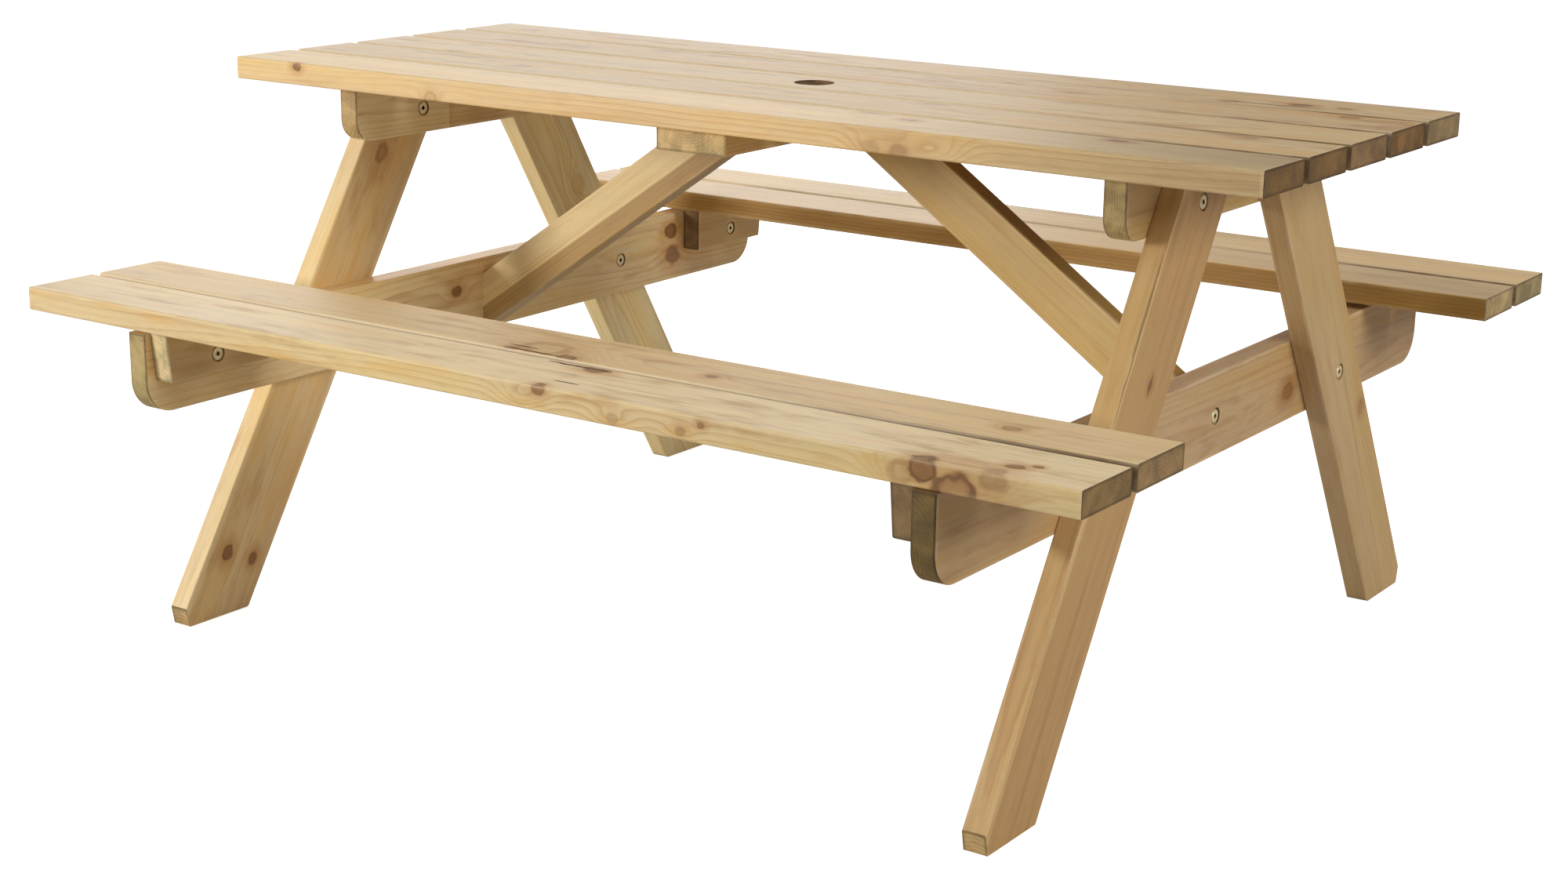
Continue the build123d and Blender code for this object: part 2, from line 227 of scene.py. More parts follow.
# ------------------------------------------------------------------ a drying crack
CRACK_WANDER = 1.6                            # sideways, in widths of the crack
CRACK_OPEN, CRACK_SHUT = 0.0022, 0.0040       # depths under the face
CRACK_FAINT, CRACK_CLEAR = 0.0002, 0.0020     # widths of a faint crack and of a clear one


def build_crack_group():
    """A thin split that follows the grain on one face, wide in the middle and closed at both ends."""
    g, i, o = new_group(
        "crack",
        {"Local": "Vector", "Wander": "Float", "Centre": "Vector", "Across": "Vector", "Facing": "Vector",
         "Length": "Float", "Width": "Float", "Cracks": "Float"},
        {"Cracks": "Float"})
    from_centre = g.vector("SUBTRACT", i["Local"], i["Centre"])
    along = g.vector("DOT_PRODUCT", from_centre, (1, 0, 0))
    straight = g.vector("DOT_PRODUCT", from_centre, i["Across"])
    side = g.add(straight, g.mul(i["Wander"], g.mul(i["Width"], CRACK_WANDER)))
    end = g.math("DIVIDE", g.absolute(along), g.mul(i["Length"], 0.5))
    opening = g.mul(i["Width"], g.math("SQRT", g.most(g.sub(1.0, g.mul(end, end)), 0.0)))
    gap = g.smooth(g.absolute(side), opening, g.mul(opening, 0.35))
    depth = g.absolute(g.vector("DOT_PRODUCT", from_centre, i["Facing"]))
    near = g.smooth(depth, CRACK_SHUT, CRACK_OPEN)
    inside = g.math("LESS_THAN", end, 1.0)
    strength = g.smooth(i["Width"], CRACK_FAINT, CRACK_CLEAR, 0.35, 1.0)
    g.feed(o["Cracks"], g.most(i["Cracks"], g.mul(g.mul(gap, near), g.mul(inside, strength))))
    return g.tree


# ------------------------------------------------------------------ the wood itself
LATE_TINT = srgb(218, 190, 152)       # multiplies the early wood in the late bands
GOLD_TINT = srgb(255, 238, 200)
PINK_TINT = srgb(246, 234, 220)
GREEN_TINT = srgb(214, 216, 178)      # salts of the pressure treatment
HEART_TINT = srgb(214, 178, 138)
HALO_TINT = srgb(214, 172, 122)
KNOT_WARM = srgb(154, 104, 50)
KNOT_DARK = srgb(74, 48, 24)
CRACK_DARK = srgb(78, 54, 32)
RUBBED = srgb(236, 212, 172)          # worn arrises
PAINTED_BORE_SHADE = srgb(140, 116, 86)        # painted shade on the cut faces of the parasol hole
PAINTED_GAP_LIGHT = srgb(238, 216, 178)        # painted light on board sides that face a gap, at one end of the table
GAP_SHADE_AND_END_OUTLINE = srgb(96, 72, 44)           # painted shade on the same sides at the other end and deep in the gap, and the outline of the end grain
JOINT_TINT = srgb(226, 210, 190)      # the darker of two lengths joined end to end
PAINTED_SHEEN = grey_colour(0.22)            # painted sheen, added to faces that look up

SEED_STEP = 3.7                       # how far apart two seeds put their noises
PITH_WANDER = (0.040, 0.030)          # across and through the timber
RING_WAVE, RING_RIPPLE = 0.0070, 0.0012
RING_UNEVEN = 1.6                     # in rings
LATE_WOOD = [(0.0, 0.0), (0.40, 0.06), (0.74, 0.52), (0.88, 1.0), (0.95, 0.92), (1.0, 0.0)]
HEART_BLUR = 0.0012
KNOT_RING_PITCH = 0.0021
PLANER_PITCH = 0.0042
SAW_SLANT = 0.35
SAW_SCALE = (900.0, 60.0)             # across and through the timber

# Noises drawn out along the grain: scale along and across it, an offset that sets each noise apart from the
# others, detail and roughness.
GRAIN_NOISES = {
    "ring wave": (2.6, 13.0, 1.7, 2.0, 0.5),
    "ring ripple": (16.0, 70.0, 5.2, 2.0, 0.5),
    "late bands": (1.3, 9.0, 21.0, 3.0, 0.5),
    "fibre": (20.0, 620.0, 12.0, 4.0, 0.62),
    "hair": (75.0, 2300.0, 4.0, 2.0, 0.5),
    "pores": (34.0, 1150.0, 31.0, 1.0, 0.5),
    "broad": (1.2, 16.0, 8.0, 3.0, 0.55),
    "streak": (2.6, 95.0, 57.0, 3.0, 0.55),
    "patch": (2.2, 7.0, 40.0, 3.0, 0.6),
    "mottle": (7.0, 34.0, 77.0, 3.0, 0.6),
    "rubbing": (9.0, 30.0, 3.0, 4.0, 0.65),
}

# Relief of the surface.
LATE_RIDGE = 0.00007
FIBRE_RIDGE = 0.00013
PLANER_RIPPLE = 0.000004
PORE_DEPTH = 0.00008
KNOT_RISE = 0.00018
BARK_DEPTH = 0.00022
SAW_RIDGE = 0.00030
CRACK_DEPTH = 0.0008


def grain_noise(g, wood, name):
    """One of the noises above, moved by the timber's seed."""
    along_scale, across_scale, offset, detail, rough = GRAIN_NOISES[name]
    place = g.join(g.add(g.mul(wood.along, along_scale), wood.shift),
                   g.add(g.mul(wood.across, across_scale), offset), g.mul(wood.deep, across_scale))
    return g.noise(place, detail, rough)


def add_rings(g, i, wood):
    """Distance from a pith that wanders along the timber, and the late wood, which grows slowly and stops
    short."""
    pith = g.split(i["Pith"])
    drift_across = g.sub(g.noise(g.join(g.add(g.mul(wood.along, 1.1), wood.shift), 3.1, 0.0), 1.0), 0.5)
    drift_deep = g.sub(g.noise(g.join(g.add(g.mul(wood.along, 0.9), wood.shift), 9.4, 0.0), 1.0), 0.5)
    drift_across = g.mul(drift_across, g.mul(i["Drift"], PITH_WANDER[0]))
    drift_deep = g.mul(drift_deep, g.mul(i["Drift"], PITH_WANDER[1]))
    tilt = g.split(i["Tilt"])
    beside = g.add(g.sub(g.sub(wood.across, pith[1]), drift_across), g.mul(tilt[1], wood.along))
    above = g.add(g.sub(g.sub(wood.deep, pith[2]), drift_deep), g.mul(tilt[2], wood.along))
    radius = g.math("SQRT", g.add(g.mul(beside, beside), g.mul(above, above)))
    wave = g.sub(grain_noise(g, wood, "ring wave"), 0.5)
    radius = g.add(radius, g.mul(wave, g.mul(i["Drift"], RING_WAVE)))
    ripple = g.sub(grain_noise(g, wood, "ring ripple"), 0.5)
    radius = g.add(radius, g.mul(ripple, RING_RIPPLE))
    wood.radius = g.add(radius, i["Warp"])
    uneven = g.sub(g.noise(g.join(g.mul(wood.radius, 42.0), wood.shift, 0.0)), 0.5)
    uneven = g.mul(uneven, RING_UNEVEN)
    rings = g.add(g.math("DIVIDE", wood.radius, i["Pitch"]), uneven)
    late = g.ramp(g.math("FRACT", rings), LATE_WOOD)
    one_ring = g.node("ShaderNodeTexWhiteNoise", noise_dimensions="1D")
    g.feed(one_ring.inputs["W"], g.add(g.math("FLOOR", rings), wood.shift))
    late = g.mul(late, g.smooth(one_ring.outputs["Value"], 0.0, 1.0, 0.40, 1.0))
    wood.late = g.mul(late, g.smooth(grain_noise(g, wood, "late bands"), 0.32, 0.68, 0.35, 1.0))


def side_grain(g, i, wood):
    """The colour of long faces, without knots: late bands, warm and pale zones, heartwood and fibres."""
    broad = grain_noise(g, wood, "broad")
    streak = g.smooth(grain_noise(g, wood, "streak"), 0.50, 0.74)
    wood.patch = grain_noise(g, wood, "patch")
    wood.mottle = grain_noise(g, wood, "mottle")
    colour = g.tint(g.mul(wood.late, i["Contrast"]), i["Early"], LATE_TINT)
    colour = g.tint(g.smooth(broad, 0.35, 0.70, 0.0, 0.8), colour, GOLD_TINT)
    colour = g.tint(g.smooth(broad, 0.62, 0.30, 0.0, 0.9), colour, PINK_TINT)
    colour = g.tint(g.mul(streak, 0.32), colour, HEART_TINT)
    colour = g.tint(g.mul(i["Mottle"], g.smooth(wood.mottle, 0.52, 0.74)), colour, HEART_TINT)
    colour = g.tint(g.mul(i["Mottle"], g.smooth(wood.mottle, 0.50, 0.34)), colour, GOLD_TINT)
    heart = g.smooth(g.add(wood.radius, g.mul(g.sub(wood.patch, 0.5), 0.004)),
                     g.add(i["Heart"], HEART_BLUR), g.sub(i["Heart"], HEART_BLUR))
    colour = g.tint(g.mul(heart, 0.90), colour, i["Heart Tone"])
    colour = g.tint(g.mul(i["Green"], g.smooth(wood.patch, 0.30, 0.66)), colour, GREEN_TINT)
    tone = g.add(g.mul(g.sub(wood.fibre, 0.5), 0.26), g.mul(g.sub(wood.hair, 0.5), 0.14))
    tone = g.sub(tone, g.mul(wood.pores, 0.12))
    tone = g.add(tone, g.mul(g.sub(wood.patch, 0.5), 0.20))
    # Shade is painted shade: the timber darker towards its far end along the grain
    tone = g.sub(tone, g.mul(i["Shade"], g.smooth(wood.along, g.mul(wood.half[0], 0.1), wood.half[0])))
    return g.shade(colour, g.add(tone, 1.0))


def joint_and_sheen(g, i, wood, colour):
    """The darker length past an end joint, and a painted sheen added to faces that look up."""
    joint = i["Joint"]
    past_joint = g.mul(g.smooth(wood.along, joint, g.add(joint, 0.0015)),
                       g.smooth(wood.along, g.add(joint, 0.25), g.add(joint, 0.02), 0.3, 1.0))
    colour = g.tint(past_joint, colour, JOINT_TINT)
    # painted sheen: faces that look up are made paler, weaker towards the low end along the grain
    sheen_face = g.mul(g.smooth(wood.facing[2], 0.85, 0.97),
                      g.smooth(wood.along, g.mul(wood.half[0], -1.0), 0.0, 0.25, 1.0))
    painted_sheen = g.mul(g.mul(i["Bleach"], sheen_face), g.smooth(wood.mottle, 0.70, 0.35, 0.45, 1.0))
    return g.mix(painted_sheen, colour, PAINTED_SHEEN, "ADD")


def knots_on(g, i, wood, colour):
    """Halo, core and bark ring of the knots over the side grain. The core's colour also serves the ends."""
    ring_place = g.add(i["Rings"], g.mul(g.sub(wood.patch, 0.5), 0.003))
    own_rings = g.math("FRACT", g.math("DIVIDE", ring_place, KNOT_RING_PITCH))
    wood.knot_colour = g.mix(g.mul(own_rings, 0.55), KNOT_WARM, KNOT_DARK)
    colour = g.tint(g.mul(i["Halo"], 0.62), colour, HALO_TINT)
    colour = g.mix(g.mul(i["Core"], 0.88), colour, wood.knot_colour)
    rim_colour = g.mix(g.smooth(i["Rim"], 0.55, 1.0, 0.0, 0.5), KNOT_WARM, KNOT_DARK)
    return g.mix(g.mul(i["Rim"], g.smooth(wood.patch, 0.3, 0.6, 0.50, 0.95)), colour, rim_colour)


def gaps_and_bore(g, i, wood, colour):
    """Board sides that face a gap, with painted light at one end and painted shade towards the other end and
    deeper down, and painted shade in the drilled parasol hole.
    """
    gap = g.split(i["Gap"])
    front_gap = g.mul(gap[0], g.smooth(wood.facing[1], -0.45, -0.75))
    back_gap = g.mul(gap[1], g.smooth(wood.facing[1], 0.45, 0.75))
    in_gap = g.add(front_gap, back_gap)
    # painted shade: full towards the far end and deeper in the gap, painted light elsewhere
    depth = g.sub(wood.half[2], wood.deep)
    towards_end = g.smooth(wood.along, g.mul(wood.half[0], 0.2), wood.half[0])
    gap_shade = g.most(towards_end, g.smooth(depth, 0.003, 0.009))
    gap_tone = g.mix(gap_shade, PAINTED_GAP_LIGHT, GAP_SHADE_AND_END_OUTLINE)
    colour = g.mix(g.mul(in_gap, 0.85), colour, gap_tone)
    # painted shade on the cut faces of the parasol hole
    from_bore = g.math("SQRT", g.add(g.mul(wood.along, wood.along), g.mul(wood.across, wood.across)))
    bore_shade = g.mul(g.smooth(from_bore, g.add(i["Bore"], 0.0006), i["Bore"]),
                  g.smooth(g.absolute(wood.facing[2]), 0.7, 0.4))
    return g.tint(bore_shade, colour, PAINTED_BORE_SHADE)


def end_grain(g, i, wood, colour):
    """Sawn ends: their own tone, plain rings and saw marks."""
    slanted = g.add(wood.across, g.mul(wood.deep, SAW_SLANT))
    wood.saw = g.noise(g.join(g.mul(slanted, SAW_SCALE[0]), g.mul(wood.deep, SAW_SCALE[1]), wood.shift))
    end_colour = g.tint(g.mul(wood.late, 0.90), i["End Tone"], HEART_TINT)
    end_colour = g.tint(g.smooth(wood.patch, 0.35, 0.7, 0.0, 0.6), end_colour, GREEN_TINT)
    end_colour = g.shade(end_colour, g.smooth(wood.mottle, 0.35, 0.65, 0.82, 1.22))
    end_colour = g.shade(end_colour, g.smooth(wood.saw, 0.2, 0.8, 0.84, 1.14))
    end_colour = g.mix(g.mul(i["Core"], 0.8), end_colour, wood.knot_colour)
    return g.mix(wood.at_end, colour, end_colour)


def arrises(g, wood, colour):
    """Edges: rubbed a little paler in places, and a dark outline round the end grain."""
    places = (wood.along, wood.across, wood.deep)
    inset = [g.sub(half, g.absolute(place)) for half, place in zip(wood.half, places)]
    long_edge = g.most(inset[1], inset[2])
    end_edge = g.most(inset[0], g.least(inset[1], inset[2]))
    edge = g.smooth(g.least(long_edge, end_edge), 0.0065, 0.0020)
    rubbed = g.mul(edge, g.smooth(grain_noise(g, wood, "rubbing"), 0.38, 0.66))
    colour = g.mix(g.mul(g.mul(rubbed, 0.30), g.sub(1.0, wood.at_end)), colour, RUBBED)
    outline = g.mul(g.smooth(g.least(inset[1], inset[2]), 0.0045, 0.0015), wood.at_end)
    return g.tint(g.mul(outline, 0.45), colour, GAP_SHADE_AND_END_OUTLINE)


def roughness_of(g, i, wood):
    """Duller fibres, ends and cracks, smoother late wood and knots."""
    roughness = g.add(0.52, g.mul(g.sub(wood.fibre, 0.5), 0.20))
    roughness = g.sub(roughness, g.mul(wood.late, 0.07))
    roughness = g.sub(roughness, g.mul(i["Core"], 0.12))
    roughness = g.add(roughness, g.mul(wood.at_end, 0.20))
    return g.add(roughness, g.mul(i["Cracks"], 0.2))


def relief_of(g, i, wood):
    """Height of the surface: ridges, fibres and the planer's ripple on long faces, saw marks on the ends."""
    planer = g.math("SINE", g.mul(g.add(wood.along, g.mul(wood.patch, 0.002)), 2 * math.pi / PLANER_PITCH))
    relief = g.add(g.mul(wood.late, LATE_RIDGE), g.mul(wood.fibre, FIBRE_RIDGE))
    relief = g.add(relief, g.mul(planer, PLANER_RIPPLE))
    relief = g.sub(relief, g.mul(wood.pores, PORE_DEPTH))
    relief = g.add(relief, g.mul(i["Core"], KNOT_RISE))
    relief = g.sub(relief, g.mul(i["Rim"], BARK_DEPTH))
    relief = g.add(g.mul(relief, g.sub(1.0, wood.at_end)), g.mul(g.mul(wood.saw, SAW_RIDGE), wood.at_end))
    return g.sub(relief, g.mul(i["Cracks"], CRACK_DEPTH))


def build_pine_group():
    """Planed pine in a timber's own axes: X along the grain, Y across its wide face, Z through it."""
    g, i, o = new_group(
        "pine",
        {"Local": "Vector", "Half": "Vector", "Seed": "Float", "Pith": "Vector", "Pitch": "Float",
         "Tilt": "Vector", **KNOT_STATE, "Cracks": "Float", "Facing": "Vector", "Drift": "Float",
         "Bleach": "Float", "Gap": "Vector", "Bore": "Float", "Joint": "Float", "Early": "Color",
         "End Tone": "Color", "Contrast": "Float", "Green": "Float", "Heart": "Float",
         "Heart Tone": "Color", "Mottle": "Float", "Shade": "Float"},
        {"Color": "Color", "Roughness": "Float", "Height": "Float"})
    wood = SimpleNamespace()      # what the parts of the look share: places, rings, noises and masks
    wood.along, wood.across, wood.deep = g.split(i["Local"])
    wood.shift = g.mul(i["Seed"], SEED_STEP)
    wood.half = g.split(i["Half"])
    wood.facing = g.split(i["Facing"])
    wood.at_end = g.smooth(g.absolute(wood.facing[0]), 0.42, 0.62)
    add_rings(g, i, wood)
    wood.fibre = grain_noise(g, wood, "fibre")
    wood.hair = grain_noise(g, wood, "hair")
    wood.pores = g.smooth(grain_noise(g, wood, "pores"), 0.69, 0.76)
    colour = side_grain(g, i, wood)
    colour = joint_and_sheen(g, i, wood, colour)
    colour = knots_on(g, i, wood, colour)
    colour = gaps_and_bore(g, i, wood, colour)
    colour = end_grain(g, i, wood, colour)
    colour = arrises(g, wood, colour)
    g.feed(o["Color"], g.mix(i["Cracks"], colour, CRACK_DARK))
    g.feed(o["Roughness"], roughness_of(g, i, wood))
    g.feed(o["Height"], relief_of(g, i, wood))
    return g.tree


KNOT = build_knot_group()
CRACK = build_crack_group()
PINE = build_pine_group()


# ------------------------------------------------------------------ timber materials
X, Y, Z = Vector((1, 0, 0)), Vector((0, 1, 0)), Vector((0, 0, 1))
TOUCHING = 0.001
EARLY = srgb(226, 197, 142)
END_TONE = srgb(150, 122, 84)
NO_JOINT = 9.0                        # far past the end of any timber
ROUGH_SCALE, LUMPY_SCALE = 75.0, 30.0
WANDER_SCALE = (38.0, 120.0, 120.0)
UNSEEN = 1e-6


class Timber:
    """Where a timber lies: its middle, its half sizes, and its own axes along, across and through."""

    def __init__(self, name, along, across):
        self.name = name
        self.along = Vector(along).normalized()
        self.across = Vector(across).normalized()
        self.axes = (self.along, self.across, self.along.cross(self.across))
        corners = [vertex.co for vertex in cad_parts[name].data.vertices]
        self.middle, self.half = Vector(), Vector()
        for k, axis in enumerate(self.axes):
            places = [corner.dot(axis) for corner in corners]
            self.middle += axis * (min(places) + max(places)) / 2
            self.half[k] = (max(places) - min(places)) / 2

    def turn(self, direction):
        """A direction of the row frame in the timber's own axes."""
        return tuple(Vector(direction).dot(axis) for axis in self.axes)

    def local(self, place):
        """A place in the row frame in the timber's own axes."""
        return self.turn(Vector(place) - self.middle)

    def point(self, *places):
        """The place in the row frame of a point given along, across and through the timber."""
        return sum((axis * place for axis, place in zip(self.axes, places)), self.middle.copy())


def timber_material(timber, knots=(), cracks=(), **look):
    """Pine for one timber, with its knots (place, axis, radius, dark, bark) and its cracks (place, across,
    facing, length, width). The rest of its look is drawn from its name, unless look says otherwise."""
    chance = random.Random(zlib.crc32(timber.name.encode()))
    material, g, shader = new_material("pine_" + timber.name)
    here = g.vector("SUBTRACT", g.node("ShaderNodeTexCoord").outputs["Object"], tuple(timber.middle))
    local = g.join(*[g.vector("DOT_PRODUCT", here, tuple(axis)) for axis in timber.axes])
    rough = g.noise(g.vector("SCALE", local, scale=ROUGH_SCALE))
    lumpy = g.noise(g.vector("SCALE", local, scale=LUMPY_SCALE), 1.0)
    ragged = g.add(g.mul(g.sub(rough, 0.5), 0.80), g.mul(g.sub(lumpy, 0.5), 1.00))
    wander = g.sub(g.noise(g.vector("MULTIPLY", local, WANDER_SCALE), 3.0, 0.65), 0.5)
    # Knots and cracks read their place through this sum, which moves nothing that can be seen. It makes
    # Cycles work out the noise before any of them and take them one by one, so its shader stack stays short.
    local_late = g.vector("ADD", local, g.join(g.mul(ragged, UNSEEN), g.mul(wander, UNSEEN), 0.0))
    state = {name: 0.0 for name in KNOT_STATE}
    for place, axis, radius, dark, bark in knots:
        result = g.group(KNOT, Local=local_late, Ragged=ragged, Centre=timber.local(place),
                         Axis=timber.turn(axis), Radius=radius, Dark=dark, Bark=bark, **state)
        state = {name: result[name] for name in KNOT_STATE}
    split = 0.0
    for place, across, facing, length, width in cracks:
        result = g.group(CRACK, Local=local_late, Wander=wander, Centre=timber.local(place),
                         Across=timber.turn(across), Facing=timber.turn(facing), Length=length,
                         Width=width, Cracks=split)
        split = result["Cracks"]
    normal = g.node("ShaderNodeNewGeometry").outputs["True Normal"]
    facing = g.join(*[g.vector("DOT_PRODUCT", normal, tuple(axis)) for axis in timber.axes])
    values = {
        "Seed": chance.uniform(0, 60),
        "Pith": (0.0, chance.uniform(-0.030, 0.030), -chance.uniform(0.030, 0.075)),
        "Pitch": chance.uniform(0.0034, 0.0050),
        "Tilt": (0.0, chance.uniform(-0.010, 0.010), chance.uniform(-0.018, 0.018)),
        "Early": EARLY,
        "End_Tone": END_TONE,
        "Contrast": 0.60,
        "Green": 0.2,
        "Heart": 0.0,
        "Heart_Tone": HEART_TINT,
        "Mottle": 0.25,
        "Shade": 0.0,
        "Drift": 1.0,
        "Bleach": 0.0,
        "Gap": (0, 0, 0),
        "Bore": 0.0,
        "Joint": NO_JOINT,
    }
    values.update(look)
    wood = g.group(PINE, Local=local, Half=tuple(timber.half), Cracks=split, Facing=facing,
                   **state, **values)
    bumpy = g.bump(wood["Height"])
    g.feed(shader["Base Color"], wood["Color"])
    g.feed(shader["Roughness"], wood["Roughness"])
    g.feed(shader["Normal"], bumpy)
    return material


def dress(node, material):
    """Gives a CAD node its material without touching its mesh."""
    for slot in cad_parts[node].material_slots:
        slot.link = "OBJECT"
        slot.material = material


TOP_BOARDS = ["top_board_1_front", "top_board_2", "top_board_3_centre", "top_board_4", "top_board_5_back"]
BENCH_BOARDS = ["bench_front_outer_board", "bench_front_inner_board",
                "bench_back_inner_board", "bench_back_outer_board"]
ENDS = {"left": -1, "right": 1}
SIDES = {"front": -1, "back": 1}


def leg_direction(side):
    """Up along a leg of one side, worked out from the back right leg: it leans in towards the middle."""
    low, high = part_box("leg_right_back")
    corners = [vertex.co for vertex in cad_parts["leg_right_back"].data.vertices]
    top = [corner.y for corner in corners if corner.z > high.z - TOUCHING]
    foot = [corner.y for corner in corners if corner.z < low.z + TOUCHING]
    run = (min(foot) + max(foot)) / 2 - (min(top) + max(top)) / 2
    return Vector((0, -side * run, high.z - low.z)).normalized()


def brace_direction(end):
    """Along a brace towards +X, worked out from the sloping lower edge of the right brace."""
    low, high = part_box("brace_right")
    corners = [vertex.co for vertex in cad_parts["brace_right"].data.vertices]
    inner = min(corner.z for corner in corners if corner.x < low.x + TOUCHING)
    return Vector((high.x - low.x, 0, -end * (inner - low.z))).normalized()


def find_timbers():
    """Every timber by name, with its own axes: along the grain first, then across its wide face."""
    directions = {name: (X, Y) for name in TOP_BOARDS + BENCH_BOARDS}
    directions["centre_batten"] = (Y, X)
    for end_name, end in ENDS.items():
        directions["seat_beam_" + end_name] = (Y, Z)
        directions["top_beam_" + end_name] = (Y, Z)
        brace = brace_direction(end)
        directions["brace_" + end_name] = (brace, Y.cross(brace))
        for side_name, side in SIDES.items():
            leg = leg_direction(side)
            directions[f"leg_{end_name}_{side_name}"] = (leg, X.cross(leg))
            directions[f"bench_cleat_{end_name}_{side_name}"] = (Y, Z)
    return {name: Timber(name, along, across) for name, (along, across) in directions.items()}


def straight_heart(pith_across, radius, tone, drift=0.1):
    """A straight pith with heartwood of another tone out to a radius, which a face shows as a band."""
    return {"Pith": (0, pith_across, 0), "Tilt": (0, 0, 0), "Drift": drift, "Heart": radius,
            "Heart_Tone": tone}


timbers = find_timbers()

DARK_END = srgb(114, 83, 38)
OLIVE_END = srgb(176, 150, 104)
FOOT_END = srgb(204, 172, 120)
PARASOL_RADIUS = 0.0285               # just outside the drilled hole
# The Early and End Tone colours below are wood tone with painted light and shade in them: timbers at the
# left end are painted paler and timbers at the right end darker.
LOOKS = {
    "top_board_1_front": {
        "Early": srgb(245, 217, 165), "End_Tone": DARK_END, "Shade": 0.38, "Bleach": 0.2, "Gap": (0, 1, 0)},
    "top_board_2": {
        "Early": srgb(222, 196, 150), "End_Tone": DARK_END, "Mottle": 0.8, "Bleach": 0.25, "Gap": (1, 1, 0)},
    "top_board_3_centre": {
        "Early": srgb(224, 199, 154), "End_Tone": srgb(130, 99, 60), "Mottle": 0.6, "Bleach": 0.25,
        "Gap": (1, 1, 0), "Bore": PARASOL_RADIUS},
    "top_board_4": {
        "Early": srgb(219, 192, 148), "End_Tone": DARK_END, "Mottle": 0.9, "Heart": 0.030, "Bleach": 0.25,
        "Gap": (1, 1, 0)},
    "top_board_5_back": {
        "Early": srgb(223, 197, 154), "End_Tone": srgb(143, 117, 79), "Mottle": 0.8, "Bleach": 0.25,
        "Gap": (1, 0, 0)},
    "bench_front_outer_board": {
        "Early": srgb(238, 217, 168), "End_Tone": srgb(130, 102, 56), "Mottle": 0.6, "Shade": 0.12,
        "Bleach": 1.1, "Gap": (0, 1, 0)},
    "bench_front_inner_board": {
        "Early": srgb(233, 209, 161), "End_Tone": srgb(142, 112, 70), "Mottle": 0.45, "Bleach": 0.45,
        "Gap": (1, 0, 0)},
    "bench_back_inner_board": {
        "Early": srgb(238, 208, 158), "End_Tone": OLIVE_END, "Shade": 0.25, "Bleach": 0.4, "Gap": (0, 1, 0),
        **straight_heart(-0.062, 0.017, srgb(196, 174, 98))},
    "bench_back_outer_board": {
        "Early": srgb(236, 208, 158), "End_Tone": srgb(150, 132, 90), "Bleach": 0.4, "Gap": (1, 0, 0)},
    "leg_left_front": {
        "Early": srgb(250, 230, 184), "End_Tone": FOOT_END, "Green": 0.1, "Mottle": 0.5,
        **straight_heart(0, 0.0535, srgb(243, 233, 218))},
    "leg_right_front": {
        "Early": srgb(214, 182, 130), "End_Tone": FOOT_END, "Green": 0.3,
        **straight_heart(-0.004, 0.0570, srgb(228, 217, 206))},
    "leg_right_back": {"Early": srgb(200, 172, 126), "End_Tone": FOOT_END, "Green": 0.3},
    "leg_left_back": {"Early": srgb(252, 236, 186), "End_Tone": FOOT_END, "Green": 0.2},
    "seat_beam_left": {"Early": srgb(252, 228, 176), "End_Tone": srgb(178, 157, 104), "Mottle": 0.5},
    "seat_beam_right": {
        "Early": srgb(196, 166, 125), "End_Tone": srgb(119, 95, 45), "Green": 0.3, "Mottle": 0.5},
    "bench_cleat_left_front": {"End_Tone": srgb(222, 200, 152)},
    "top_beam_left": {"Early": srgb(252, 236, 190), "End_Tone": srgb(198, 168, 115), "Joint": -0.085},
    "top_beam_right": {"Early": srgb(222, 193, 142), "End_Tone": srgb(184, 161, 110), "Green": 0.3},
    "centre_batten": {
        "Early": srgb(226, 197, 142), "End_Tone": srgb(212, 184, 130), "Bore": PARASOL_RADIUS},
    "brace_left": {
        "Early": srgb(255, 236, 188), "Green": 0.2, "Shade": 0.20,
        **straight_heart(0.0575, 0.0525, srgb(190, 170, 142), 0.15)},
    # brace_right: its heartwood band is painted shade, the table top's shadow on the brace's upper strip
    "brace_right": {
        "Early": srgb(223, 198, 140), "Green": 0.1, **straight_heart(-0.045, 0.0186, srgb(164, 142, 68))},
}


def mm(x, y, z):
    return Vector((x, y, z)) / 1000


def face_at(node, side, axis):
    """Where a CAD node's box ends along an axis, in mm: side 0 is its low end and side 1 its high end."""
    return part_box(node)[side][axis] * 1000


TOP = face_at("top_board_1_front", 1, 2)
TOP_EDGE = face_at("top_board_1_front", 0, 1)
SEAT = face_at("bench_front_outer_board", 1, 2)
SEAT_EDGE = face_at("bench_front_outer_board", 0, 1)
LEFT_BEAM = face_at("seat_beam_left", 1, 0)       # inner face
RIGHT_BEAM = face_at("seat_beam_right", 1, 0)     # outer face
LEFT_LEG = face_at("leg_left_front", 1, 0)        # inner face
RIGHT_LEG = face_at("leg_right_front", 1, 0)      # outer face

